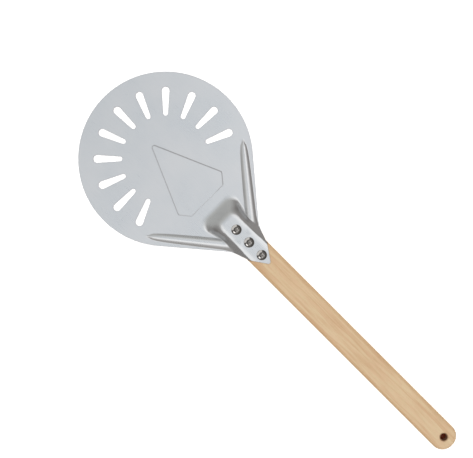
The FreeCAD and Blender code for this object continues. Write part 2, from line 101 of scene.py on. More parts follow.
# Spacing of the meshes' points, the reach over which slopes are measured, and two limits.
HOLE_STEP, FINE_STEP, HANDLE_STEP = 0.6, 0.5, 1.5
BLADE_PITCH, HANDLE_PITCH = 2.4, 1.6
SLOPE_REACH = 0.04
SMALL, FAR = 0.01, 1e9

# What the metal sees of the studio: degrees from straight up, and the light's colour there.
SIDE_LIGHT = [
    (0, (0.620, 0.650, 0.690)), (7, (0.655, 0.685, 0.72)), (14, (1.07, 1.07, 1.07)),
    (31, (1.12, 1.11, 1.10)), (43, (0.56, 0.55, 0.54)), (56, (0.27, 0.258, 0.25)),
    (100, (0.265, 0.25, 0.24)), (180, (0.29, 0.275, 0.265)),
]
FRONT_LIGHT = [
    (0, (0.620, 0.650, 0.690)), (5, (0.55, 0.58, 0.625)), (9, (0.50, 0.535, 0.575)),
    (16, (0.54, 0.57, 0.59)), (28, (0.56, 0.57, 0.57)), (45, (0.50, 0.50, 0.485)),
    (70, (0.47, 0.47, 0.455)), (94, (0.415, 0.415, 0.40)), (180, (0.36, 0.355, 0.34)),
]
# How it leans across the peel, again by the angle from straight up: 0.5 is even, more is
# brighter towards +y and less is brighter towards -y.
SIDE_LEAN = [(0, 1.0), (8, 0.95), (15, 0.52), (32, 0.48), (100, 0.52), (130, 0.55), (180, 0.55)]

# Where the front light fades in and is full: cosine of the heading from the front.
FRONT_EXTENT = (0.30, 0.95)
# Where the low bank fades in and is full: cosine of the heading from its middle, and the angle
# from straight up as a share of a half turn.
BANK_EXTENT, BANK_TILT, BANK_STRENGTH = (0.80, 0.98), (0.2, 0.31), 0.5

# Lamps: name, lean from overhead and heading in degrees, energy in W/m2, spread in degrees.
OVERHEAD = ("overhead", 10, 145, 1.35, 70)
SCREW_GLINTS = [("glint_front", 80, 180, 3.0, 100), ("glint_side", 52, -85, 1.15, 36)]
LAMP_HEIGHT = 3.0

# The stage and the camera, in metres.
FLOOR_RADIUS, FLOOR_DROP, BACKDROP_RADIUS = 9.0, 0.0002, 8.9
# How far the floor looks for what hems it in, how open it has to be before its painted-light glow
# starts and when it is full, how strongly it glows, and the colour of the painted shadow where it
# doesn't.
FLOOR_REACH, FLOOR_OPEN, FLOOR_GLOW = 0.02, (0.18, 0.42), 0.5
FLOOR_PAINTED_SHADOW = (0.26, 0.045, 0.015)
CAMERA_PLACE, CAMERA_HEIGHT, CAMERA_TURN = (-0.0674, 0.00066), 1.4, math.radians(45)
VIEW_WIDTH, CAMERA_REACH = 0.550, 50.0
SENSOR_WIDTH = 36.0

# Where the centre of the round blade lies in the frame.
CENTRE_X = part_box("blade")[0].x / MM + DISC_RADIUS


def put_in_scene(name, data):
    """A new object for some data, linked into the scene."""
    thing = bpy.data.objects.new(name, data)
    bpy.context.scene.collection.objects.link(thing)
    return thing


# ---------------------------------------------------------------- outlines

def unit(vector):
    """A vector's direction."""
    return vector / np.linalg.norm(vector)


def arc(centre, radius, start, end, step):
    """Points along an arc, both ends included."""
    count = max(3, math.ceil(abs(end - start) * radius / step))
    angles = np.linspace(start, end, count + 1)
    return np.stack([centre[0] + radius * np.cos(angles), centre[1] + radius * np.sin(angles)], 1)


def fillet(before, corner, after, radius, step):
    """The arc that rounds a corner."""
    before, corner, after = (np.array(p, float) for p in (before, corner, after))
    u, v = unit(before - corner), unit(after - corner)
    half = math.acos(float(u @ v)) / 2
    centre = corner + unit(u + v) * radius / math.sin(half)
    start, end = (corner + w * radius / math.tan(half) - centre for w in (u, v))
    first = math.atan2(start[1], start[0])
    sweep = (math.atan2(end[1], end[0]) - first + math.pi) % (2 * math.pi) - math.pi
    return arc(centre, radius, first, first + sweep, step)


def close_up(pieces, step):
    """A closed line through the pieces, with long straights divided."""
    points = np.concatenate(pieces)
    keep = np.linalg.norm(points - np.roll(points, 1, 0), axis=1) > 1e-6
    points = points[keep]
    out = []
    for a, b in zip(points, np.roll(points, -1, 0)):
        count = max(1, math.ceil(np.linalg.norm(b - a) / step - 1e-6))
        out += [a + (b - a) * k / count for k in range(count)]
    return np.array(out)


def rounded_outline(corners, step):
    """A closed outline through (point, radius) corners."""
    count = len(corners)
    pieces = []
    for k, (point, radius) in enumerate(corners):
        before, after = corners[k - 1][0], corners[(k + 1) % count][0]
        pieces.append(
            fillet(before, point, after, radius, step) if radius else np.array([point], float)
        )
    return close_up(pieces, step)


def circle(x, radius, step):
    """A hole's outline, clockwise."""
    count = max(24, math.ceil(2 * math.pi * radius / step))
    angles = -np.arange(count) * 2 * math.pi / count
    return np.stack([x + radius * np.cos(angles), radius * np.sin(angles)], 1)


def blade_outline(step=0.9):
    """The round blade, its waist and the pointed tongue, anticlockwise."""
    reach = math.hypot(*WAIST)
    touch = math.atan2(WAIST[1], WAIST[0]) + math.acos(DISC_RADIUS / reach)
    disc = arc((0, 0), DISC_RADIUS, touch, 2 * math.pi - touch, step)

    def below(point):
        return (point[0], -point[1])

    return close_up([
        disc,
        fillet(disc[-1], below(WAIST), below(SHOULDER), WAIST_RADIUS, step),
        np.array([below(SHOULDER)]),
        fillet(below(SHOULDER), TONGUE, SHOULDER, TONGUE_RADIUS, FINE_STEP),
        np.array([SHOULDER]),
        fillet(SHOULDER, WAIST, disc[0], WAIST_RADIUS, step),
    ], step)


def slot_outline(turn, step=HOLE_STEP):
    """A tapered slot with round ends, clockwise."""
    lean = math.acos((SLOT_INNER_RADIUS - SLOT_OUTER_RADIUS) / (SLOT_OUTER - SLOT_INNER))
    outline = close_up([
        arc((SLOT_OUTER, 0), SLOT_OUTER_RADIUS, lean, -lean, step),
        arc((SLOT_INNER, 0), SLOT_INNER_RADIUS, -lean, lean - 2 * math.pi, step),
    ], step)
    c, s = math.cos(turn), math.sin(turn)
    return outline @ np.array([[c, s], [-s, c]])


def outward(outline):
    """Unit normals of a closed outline, away from the material, lengthened at corners."""
    edge = np.roll(outline, -1, 0) - outline
    edge /= np.linalg.norm(edge, axis=1)[:, None]
    normal = np.stack([edge[:, 1], -edge[:, 0]], 1)
    mean = normal + np.roll(normal, 1, 0)
    mean /= np.linalg.norm(mean, axis=1)[:, None]
    return mean / np.sum(mean * normal, 1)[:, None]


# ---------------------------------------------------------------- heights

def smooth_curve(x, knots, values):
    """A smooth curve through the knots that never overshoots, flat beyond its ends."""
    knots, values = np.array(knots, float), np.array(values, float)
    step = np.diff(knots)
    slope = np.diff(values) / step
    tangent = np.zeros_like(values)
    rising = slope[:-1] * slope[1:] > 0
    w1, w2 = 2 * step[1:] + step[:-1], step[1:] + 2 * step[:-1]
    safe0 = np.where(rising, slope[:-1], 1.0)
    safe1 = np.where(rising, slope[1:], 1.0)
    tangent[1:-1] = np.where(rising, (w1 + w2) / (w1 / safe0 + w2 / safe1), 0.0)
    x = np.clip(x, knots[0], knots[-1])
    k = np.clip(np.searchsorted(knots, x, side="right") - 1, 0, len(step) - 1)
    t = (x - knots[k]) / step[k]
    return (
        (1 + 2 * t) * (1 - t) ** 2 * values[k]
        + t * (1 - t) ** 2 * step[k] * tangent[k]
        + t * t * (3 - 2 * t) * values[k + 1]
        + t * t * (t - 1) * step[k] * tangent[k + 1]
    )


def ease(value, low, high):
    """0 at low and 1 at high, smoothly, and held beyond them."""
    t = np.clip((value - low) / (high - low), 0, 1)
    return t * t * (3 - 2 * t)


def outside_neck(x, y, share):
    """How far outside one level of the neck each point is; negative inside."""
    front_x, front_half, radius, side_x, side_half = (
        FOOT[:, None] + (DECK - FOOT)[:, None] * share
    )
    run = np.hypot(side_x - front_x, side_half - front_half)
    ux, uy = (side_x - front_x) / run, (side_half - front_half) / run
    nx, ny = -uy, ux
    slanted = nx * (x - front_x) + ny * (y - front_half)
    straight = y - side_half
    # hollow bend between the flared front and the straight sides
    turn = np.arctan2(-uy, ux)
    reach = NECK_SIDE_RADIUS * np.tan(turn / 2)
    cx, cy = side_x + reach, side_half + NECK_SIDE_RADIUS
    qx, qy = x - cx, y - cy
    in_bend = (qx <= 0) & (qx * ux + qy * uy >= 0)
    side = np.where(in_bend, NECK_SIDE_RADIUS - np.hypot(qx, qy), np.minimum(slanted, straight))
    # rounded front corner
    cx, cy = front_x + radius, front_half - radius * (1 + nx) / ny
    qx, qy = x - cx, y - cy
    in_corner = (nx * qy - ny * qx >= 0) & (qy >= 0)
    return np.where(in_corner, np.hypot(qx, qy) - radius, np.maximum(front_x - x, side))


def neck_line(share, step=0.9):
    """Points along one level of the neck, on the +Y side, front to back."""
    front_x, front_half, radius, side_x, side_half = FOOT + (DECK - FOOT) * share
    corner, bend, back = (front_x, front_half), (side_x, side_half), (TONGUE[0] + 2, side_half)
    front = fillet((front_x, 0), corner, bend, radius, step)
    side = fillet(corner, bend, back, NECK_SIDE_RADIUS, step)
    stations = np.concatenate([[(front_x, 0.0)], front, side, [back]])
    return close_up([stations], step)[:-1]


def neck_rise(x, y):
    """Height of the pressed neck over the flat sheet, from the level that each point is on."""
    x, y = np.asarray(x, float), np.abs(y)
    rise = np.zeros_like(x)
    near = (x > NECK_REGION[0]) & (y < NECK_REGION[1])
    px, py = x[near], y[near]
    low, high = (np.full(px.shape, share) for share in NECK_SHARE_RANGE)
    for _ in range(NECK_HALVINGS):
        middle = (low + high) / 2
        beyond = outside_neck(px, py, middle) > 0
        high = np.where(beyond, middle, high)
        low = np.where(beyond, low, middle)
    rise[near] = NECK_RISE * smooth_curve((low + high) / 2, NECK_SHARES, NECK_RISES)
    return rise


def rib_points():
    """Points in rows across the +Y rib, closer together towards its edges."""
    share = np.linspace(-0.03, 1.06, 96)
    edge = np.array([0.1, 0.3, 0.5, 0.65, 0.78, 0.87, 0.94, 1.0, 1.06, 1.14, 1.26, 1.45])
    across = np.concatenate([-edge[::-1], edge])
    half = RIB_HALF * smooth_curve(share, RIB_SHARES, RIB_WIDTHS)
    u = (share * RIB_LENGTH)[:, None] + 0 * across
    v = half[:, None] * across
    c, s = math.cos(RIB_ANGLE), math.sin(RIB_ANGLE)
    return np.stack([
        (RIB_NOSE[0] + c * u + s * v).ravel(), (RIB_NOSE[1] - s * u + c * v).ravel()
    ], 1)


def rib_rise(x, y, softness=0.16):
    """Height of the two stiffening ribs: round across, with soft feet and sloping ends."""
    y = np.abs(y)
    c, s = math.cos(RIB_ANGLE), math.sin(RIB_ANGLE)
    dx, dy = x - RIB_NOSE[0], y - RIB_NOSE[1]
    along, across = c * dx - s * dy, s * dx + c * dy
    share = along / RIB_LENGTH
    half = RIB_HALF * smooth_curve(share, RIB_SHARES, RIB_WIDTHS)
    peak = RIB_RISE * smooth_curve(share, RIB_SHARES, RIB_RISES)
    radius = (half ** 2 + peak ** 2) / (2 * peak)
    dome = np.sqrt(np.maximum(radius ** 2 - across ** 2, 0)) - (radius - peak)
    dome -= RIB_NOSE_SLOPE * np.maximum(-along, 0)
    dome -= np.maximum(along - RIB_LENGTH - RIB_TAIL, 0)
    rise = softness * np.logaddexp(0, dome / softness)
    return rise * (dome > -12 * softness)


def panel_rise(x, y):
    """Height of the shallow raised panel."""
    corners = np.array(PANEL)
    centre = corners.mean(0)
    distance = np.full(np.shape(x), -FAR)
    edges = np.roll(corners, -1, 0) - corners
    normals = np.stack([edges[:, 1], -edges[:, 0]], 1) / np.linalg.norm(edges, axis=1)[:, None]
    normals *= np.sign(np.sum(normals * (corners - centre), 1))[:, None]
    inset = []
    for k in range(len(corners)):
        a, b = normals[k - 1], normals[k]
        inset.append(corners[k] - PANEL_RADIUS * (a + b) / (1 + a @ b))
    inset = np.array(inset)
    for p, n in zip(inset, normals):
        distance = np.maximum(distance, n[0] * (x - p[0]) + n[1] * (y - p[1]))
    gap = np.full(np.shape(x), FAR)
    for p, q in zip(inset, np.roll(inset, -1, 0)):
        e = q - p
        t = np.clip(((x - p[0]) * e[0] + (y - p[1]) * e[1]) / (e @ e), 0, 1)
        gap = np.minimum(gap, np.hypot(x - p[0] - t * e[0], y - p[1] - t * e[1]))
    distance = np.where(distance > 0, gap, -gap) - PANEL_RADIUS
    return PANEL_RISE * ease(distance, PANEL_RAMP / 2, -PANEL_RAMP / 2)


def panel_rows():
    """Points in rows along the step round the panel, and how much painted shade darkens the sheet
    at each.
    """
    line = rounded_outline([(corner, PANEL_RADIUS) for corner in PANEL], 0.8)
    normal = outward(line)
    half = PANEL_RAMP / 2
    # painted shade, more on the sides that look towards +y and less on those that look towards +x,
    # as the light falls on the step
    side_shade = 0.35 + 0.4 * np.clip(normal[:, 1], 0, 1) - 0.2 * np.clip(normal[:, 0], 0, 1)
    painted_shade = [-0.5, -half, -half / 2, 0, half / 2, half, 0.5]
    rows = [(-0.95, 0)] + [(reach, 1) for reach in painted_shade] + [(0.95, 0)]
    points = np.concatenate([line + normal * reach for reach, _ in rows])
    return points, np.concatenate([side_shade * share for _, share in rows])


def hollow_shade(x, y):
    """How much painted shade darkens the sheet in the hollow on each side of the neck's foot."""
    rise = neck_rise(x, y) / NECK_RISE
    lengthwise = ease(x, 92, 102) * ease(x, 124, 114)
    return HOLLOW_SHADE * lengthwise * ease(rise, 0.04, 0.16) * ease(rise, 0.95, 0.6)


def sheet_top(x, y):
    """Height of the sheet's upper face: neck and ribs run together, the deck is crowned."""
    neck, rib = neck_rise(x, y), rib_rise(x, y)
    joined = (neck ** BLEND + rib ** BLEND) ** (1 / BLEND)
    beside = np.clip((np.abs(y) - CROWN_START) / (DECK[4] - CROWN_START), 0, 1.2)
    crown = CROWN_DROP * beside ** 2 * np.clip(neck / NECK_RISE, 0, 1) ** 2
    return GAUGE + joined - crown + panel_rise(x, y)


def surface(points, height):
    """Points on a height field, and its unit normals."""
    x, y = points[:, 0], points[:, 1]
    d = SLOPE_REACH
    slope_x = (height(x + d, y) - height(x - d, y)) / (2 * d)
    slope_y = (height(x, y + d) - height(x, y - d)) / (2 * d)
    normal = np.stack([-slope_x, -slope_y, np.ones_like(x)], 1)
    normal /= np.linalg.norm(normal, axis=1)[:, None]
    return np.stack([x, y, height(x, y)], 1), normal


# ---------------------------------------------------------------- meshing

def inside(points, loops):
    """Whether each point is inside the first loop and outside the others."""
    odd = np.zeros(len(points), bool)
    px, py = points[:, 0], points[:, 1]
    for loop in loops:
        low, high = loop.min(0) - SMALL, loop.max(0) + SMALL
        near = np.flatnonzero((px > low[0]) & (px < high[0]) & (py > low[1]) & (py < high[1]))
        x, y = px[near], py[near]
        hit = np.zeros(len(near), bool)
        for a, b in zip(loop, np.roll(loop, -1, 0)):
            crosses = (a[1] > y) != (b[1] > y)
            if crosses.any():
                hit ^= crosses & (x < a[0] + (b[0] - a[0]) * (y - a[1]) / (b[1] - a[1]))
        odd[near] ^= hit
    return odd


def away_from(points, loops, gap):
    """The points that keep a gap from every loop."""
    corners = np.concatenate(loops)
    tree = kdtree.KDTree(len(corners))
    for k, p in enumerate(corners):
        tree.insert((p[0], p[1], 0), k)
    tree.balance()
    keep = [tree.find((p[0], p[1], 0))[2] > gap for p in points]
    return points[np.array(keep)]


def lattice(low, high, pitch):
    """A triangular lattice over a rectangle."""
    squeeze = math.sqrt(0.75)
    rows = int((high[1] - low[1]) / (pitch * squeeze)) + 1
    columns = int((high[0] - low[0]) / pitch) + 1
    j, i = np.meshgrid(np.arange(rows), np.arange(columns), indexing="ij")
    x = low[0] + (i + 0.5 * (j % 2)) * pitch
    y = low[1] + j * pitch * squeeze
    return np.stack([x.ravel(), y.ravel()], 1)


def fill(loops, extra):
    """Triangles between the loops, using the extra points; indices follow the given order."""
    points = np.concatenate(loops + [extra])
    edges = []
    start = 0
    for loop in loops:
        count = len(loop)
        edges += [(start + k, start + (k + 1) % count) for k in range(count)]
        start += count
    flat = [Vector((float(p[0]), float(p[1]))) for p in points]
    _, _, faces, origins, _, _ = geometry.delaunay_2d_cdt(flat, edges, [], 0, 1e-6)
    names = np.array([o[0] for o in origins])
    faces = names[np.array([f[:3] for f in faces])]
    faces = faces[inside(points[faces].mean(1), loops)]
    a, b, c = (points[faces[:, k]] for k in range(3))
    area = np.cross(b - a, c - a)
    faces[area < 0] = faces[area < 0][:, ::-1]
    return points, faces[np.abs(area) > 1e-9]


class Builder:
    """Collects vertices with normals and a named value, and faces, into one mesh."""

    def __init__(self):
        self.points, self.normals, self.marks, self.faces = [], [], [], []
        self.count = 0

    def add(self, points, normals, mark=0.0):
        first = self.count
        self.points.append(points)
        self.normals.append(normals)
        self.marks.append(np.broadcast_to(mark, (len(points),)).astype(float))
        self.count += len(points)
        return first

    def strip(self, first, second, count):
        """A band of quads between two closed rings of equal count."""
        k = np.arange(count)
        after = (k + 1) % count
        self.faces += np.stack([first + k, second + k, second + after, first + after], 1).tolist()

    def make(self, name, material):
        points = np.concatenate(self.points)
        normals = np.concatenate(self.normals)
        points = (points + np.array([CENTRE_X, 0, 0])) * MM
        mesh = bpy.data.meshes.new(name)
        mesh.from_pydata(points.tolist(), [], [list(f) for f in self.faces])
        mesh.update()
        mesh.shade_smooth()
        mark = mesh.attributes.new("mark", "FLOAT", "POINT")
        mark.data.foreach_set("value", np.concatenate(self.marks).astype(np.float32))
        mesh.normals_split_custom_set_from_vertices(normals.tolist())
        mesh.materials.append(material)
        return put_in_scene(name, mesh)


def quarter(radius, steps):
    """(inset, depth, tilt) along a rounded edge, from the face over to the wall."""
    return [
        (radius * (1 - math.sin(a)), radius * (1 - math.cos(a)), a)
        for a in np.linspace(0, math.pi / 2, steps + 1)
    ]


# ---------------------------------------------------------------- blade

def blade_outlines():
    """The blade's own outline, then its slots and its screw holes."""
    turns = [math.pi + SLOT_PITCH * (k - (SLOT_COUNT - 1) / 2) for k in range(SLOT_COUNT)]
    outlines = [blade_outline()] + [slot_outline(turn) for turn in turns]
    return outlines + [circle(x, SCREW_HOLE_RADIUS, HOLE_STEP) for x in SCREW_PLACES]


def blade_points(inner, step):
    """Points that follow the neck and the ribs, and a plain lattice over the rest."""
    shares = np.concatenate([
        np.linspace(-0.34, 0.17, 11), np.linspace(0.25, 0.75, 5), np.linspace(0.83, 1.34, 11)
    ])
    shaped = np.concatenate([neck_line(share) for share in shares] + [rib_points()])
    shaped = np.concatenate([shaped, shaped * (1, -1)])
    _, first_seen = np.unique(np.round(shaped / 0.3), axis=0, return_index=True)
    shaped = shaped[np.sort(first_seen)]
    plain = lattice((-DISC_RADIUS, -DISC_RADIUS), (175, DISC_RADIUS), BLADE_PITCH)
    plain = away_from(plain, [shaped, step], 1.1)
    points = np.concatenate([shaped, plain])
    points = points[inside(points, inner)]
    return away_from(points, inner, 0.4)


def cut_edge(builder, outline, normal, first_top, first_bottom):
    """The rounded cut edge that joins the two faces along one outline."""
    count = len(outline)
    flat_out = np.concatenate([normal, np.zeros((count, 1))], 1)
    flat_out /= np.linalg.norm(flat_out, axis=1)[:, None]
    rings = [first_top]
    upper = quarter(CUT_RADIUS, CUT_STEPS)[1:]
    lower = [(inset, GAUGE - depth, math.pi - tilt) for inset, depth, tilt in upper[::-1]]
    for inset, depth, tilt in upper + lower:
        ring, ring_up = surface(outline - normal * inset, sheet_top)
        out = flat_out - ring_up * np.sum(flat_out * ring_up, 1)[:, None]
        out /= np.linalg.norm(out, axis=1)[:, None]
        ring_normal = out * math.sin(tilt) + ring_up * math.cos(tilt)
        rings.append(builder.add(ring - ring_up * depth, ring_normal, 1.0))
    rings.append(first_bottom)
    for a, b in zip(rings, rings[1:]):
        builder.strip(a, b, count)


def build_blade(material):
    """The pressed sheet: both faces follow one height field, joined by rounded cut edges."""
    outlines = blade_outlines()
    normals = [outward(outline) for outline in outlines]
    inner = [outline - normal * CUT_RADIUS for outline, normal in zip(outlines, normals)]
    step, painted_shade = panel_rows()
    extra = blade_points(inner, step)
    points, faces = fill(inner, np.concatenate([extra, step]))
    top, up = surface(points, sheet_top)
    edge_count = sum(len(outline) for outline in inner)
    mark = np.zeros(len(points))
    mark[:edge_count] = 0.3
    # negative marks are painted shade: along the panel's step here, and in the hollows beside the
    # neck below
    mark[edge_count + len(extra):] = -painted_shade
    mark -= hollow_shade(*points.T)
    builder = Builder()
    first_top = builder.add(top, up, mark)
    first_bottom = builder.add(top - up * GAUGE, -up, mark)
    builder.faces += (faces + first_top).tolist()
    builder.faces += (faces[:, ::-1] + first_bottom).tolist()
    start = 0
    for outline, normal in zip(outlines, normals):
        cut_edge(builder, outline, normal, first_top + start, first_bottom + start)
        start += len(outline)
    return builder.make("peel_blade", material)


# ---------------------------------------------------------------- handle

def under_neck(x, y):
    """The highest that wood may reach: the inner face of the neck where the sheet lies over it."""
    points = np.stack([x, y], 1)
    top, normal = surface(points, sheet_top)
    inner = top[:, 2] - GAUGE / normal[:, 2] - WOOD_CLEARANCE
    outline = blade_outline()
    covered = inside(points, [outline])
    # from the tongue's edge outwards the limit rises steeply
    gap = np.full(len(x), FAR)
    near = (~covered) & (x < TONGUE[0] + 3)
    if near.any():
        gap[near] = np.linalg.norm(points[near][:, None, :] - outline[None, :, :], axis=2).min(1)
    return np.where(covered, inner, inner + 5 * gap)


def handle_loops():
    """The bar's outlines, each with its profile: (inset, height, tilt, mark) from top to bottom,
    where the mark sets the painted shade in the bores.
    """
    outline = rounded_outline([
        ((HANDLE_FRONT, HANDLE_HALF), HANDLE_FRONT_RADIUS),
        ((HANDLE_FRONT, -HANDLE_HALF), HANDLE_FRONT_RADIUS),
        ((HANDLE_END, -HANDLE_HALF), HANDLE_END_RADIUS),
        ((HANDLE_END, HANDLE_HALF), HANDLE_END_RADIUS),
    ], HANDLE_STEP)
    top = HANDLE_THICK
    rounding = quarter(HANDLE_EDGE, HANDLE_EDGE_STEPS)
    sides = [(inset, top - depth, tilt, 0.0) for inset, depth, tilt in rounding]
    sides += [(inset, depth, math.pi - tilt, 0.0) for inset, depth, tilt in rounding[::-1]]
    # the last value of each row sets how much painted shade darkens the hole there, deepening
    # downwards
    sink = [
        (HANG_RIM * 1.15, top, 0.0, 0.1),
        (HANG_RIM * 1.0, top - 0.10, 0.45, 0.25),
        (HANG_RIM * 0.62, top - 0.48, 0.78, 0.4),
        (HANG_RIM * 0.22, top - 1.05, 0.95, 0.55),
        (0.0, top - 1.75, math.pi / 2, 0.9),
        (0.0, top - 3.0, math.pi / 2, 1.0),
    ]
    sink += [(inset, top - z, math.pi - tilt, mark) for inset, z, tilt, mark in sink[::-1]]
    reach = COUNTERBORE_RADIUS - NUT_HOLE_RADIUS
    # the last value of each row sets how much painted shade darkens the bore there
    bore = [
        (0.0, top, math.pi / 2, 0.6),
        (0.0, COUNTERBORE_DEPTH, math.pi / 2, 0.8),
        (0.0, COUNTERBORE_DEPTH, math.pi, 0.6),
        (reach, COUNTERBORE_DEPTH, math.pi, 0.6),
        (reach, COUNTERBORE_DEPTH, math.pi / 2, 0.6),
        (reach, 0.2, math.pi / 2, 0.4),
        (reach + 0.2, 0.0, math.pi * 0.75, 0.2),
    ]
    loops = [(outline, sides), (circle(HANG_X, HANG_RADIUS, FINE_STEP), sink)]
    return loops + [(circle(x, NUT_HOLE_RADIUS, HOLE_STEP), bore) for x in SCREW_PLACES]


def handle_wall(builder, line, profile):
    """A wall down one outline; returns the line and the first vertex of its two end rings."""
    normal = outward(line)
    flat = normal / np.linalg.norm(normal, axis=1)[:, None]
    flat = np.column_stack([flat, np.zeros(len(line))])
    rings = []
    for inset, z, tilt, mark in profile:
        xy = line - normal * inset
        heights = np.full(len(line), float(z))
        if z > HANDLE_THICK / 3:
            limit = np.maximum(under_neck(xy[:, 0], xy[:, 1]), WOOD_LEAST)
            heights = np.minimum(heights, limit)
        normals = flat * math.sin(tilt) + np.array([0, 0, math.cos(tilt)])
        rings.append((xy, builder.add(np.column_stack([xy, heights]), normals, mark)))
    for (_, a), (_, b) in zip(rings, rings[1:]):
        builder.strip(a, b, len(line))
    return rings[0], rings[-1]


def handle_face(builder, rings, upward):
    """The top or the underside, between the end rings of all the walls."""
    edge = [line for line, _ in rings]
    points = lattice((HANDLE_FRONT, -HANDLE_HALF), (HANDLE_END, HANDLE_HALF), HANDLE_PITCH)
    points = points[inside(points, edge)]
    points = away_from(points, edge, HANDLE_PITCH * 0.55)
    _, faces = fill(edge, points)
    if upward:
        z = np.minimum(HANDLE_THICK, under_neck(points[:, 0], points[:, 1]))
    else:
        z = np.zeros(len(points))
    normal = np.array([0.0, 0.0, 1.0 if upward else -1.0])
    first = builder.add(np.column_stack([points, z]), np.tile(normal, (len(points), 1)))
    index = np.concatenate(
        [np.arange(len(line)) + start for line, start in rings] + [np.arange(len(points)) + first]
    )
    faces = index[faces]
    builder.faces += (faces if upward else faces[:, ::-1]).tolist()


def build_handle(material):
    """The wooden bar, its long edges well rounded, with a countersunk hanging hole."""
    builder = Builder()
    ends = [handle_wall(builder, line, profile) for line, profile in handle_loops()]
    handle_face(builder, [top for top, _ in ends], True)
    handle_face(builder, [bottom for _, bottom in ends], False)
    return builder.make("peel_handle", material)


# ---------------------------------------------------------------- screws

def screw_rings():
    """(radius, height, roundness) from the shank's end over the head into its socket, where a
    roundness of 1 is a circle and 0 a hexagon, and the number of rings outside the socket."""
    rings = [
        (2.45, -12.0, 1), (2.45, -0.05, 1), (2.5, 0.0, 1), (5.75, 0.0, 1), (5.93, 0.08, 1),
        (6.0, 0.25, 1), (6.0, 0.5, 1),
    ]
    for r in (5.93, 5.8, 5.5, 5.1, 4.6, 4.0, 3.5, 3.1):
        to_centre = math.sqrt(SCREW_DOME_RADIUS ** 2 - r ** 2)
        rings.append((r, SCREW_CROWN - SCREW_DOME_RADIUS + to_centre, 1))
    mouth = rings[-1][1]
    rings += [(2.9, mouth - 0.03, 1), (2.72, mouth - 0.2, 1), (2.35, mouth - 0.5, 0.35)]
    outside = len(rings)
    rings += [
        (2.1, mouth - 0.7, 0.0), (2.08, mouth - 2.0, 0.0), (1.7, mouth - 2.25, 0.0),
        (0.6, mouth - 2.45, 1),
    ]
    return rings, outside


def build_screw(name, x, material):
    """A domed screw head with a chamfered hexagon socket, on a plain shank."""
    angles = np.arange(SCREW_SEGMENTS) * 2 * math.pi / SCREW_SEGMENTS
    hexagon = 1 / np.cos(np.mod(angles, math.pi / 3) - math.pi / 6)
    base = GAUGE + NECK_RISE
    rings, outside = screw_rings()
    build = bmesh.new()
    made = []
    for radius, height, roundness in rings:
        reach = radius * (roundness + (1 - roundness) * hexagon)
        points = [
            (CENTRE_X + x + r * math.cos(a), r * math.sin(a), base + height)
            for r, a in zip(reach, angles)
        ]
        made.append([build.verts.new([value * MM for value in point]) for point in points])
    for a, b in zip(made, made[1:]):
        for k in range(SCREW_SEGMENTS):
            build.faces.new((a[k - 1], a[k], b[k], b[k - 1]))
    build.faces.new(made[0][::-1])
    build.faces.new(made[-1])
    build.normal_update()
    for face in build.faces:
        face.smooth = True
    for edge in build.edges:
        if len(edge.link_faces) == 2 and edge.calc_face_angle() > SCREW_CREASE:
            edge.smooth = False
    mesh = bpy.data.meshes.new(name)
    build.to_mesh(mesh)
    build.free()
    # the socket's rings carry the mark for the socket's painted shade
    mark = mesh.attributes.new("mark", "FLOAT", "POINT")
    values = np.repeat([1.0 if k >= outside else 0.0 for k in range(len(rings))], SCREW_SEGMENTS)
    mark.data.foreach_set("value", values.astype(np.float32))
    mesh.materials.append(material)
    return put_in_scene(name, mesh)


# ---------------------------------------------------------------- materials

# Sockets of the Mix node in its colour form, which share their names with its other forms.
MIX_FACTOR, MIX_A, MIX_B, MIX_RESULT = 0, 6, 7, 2


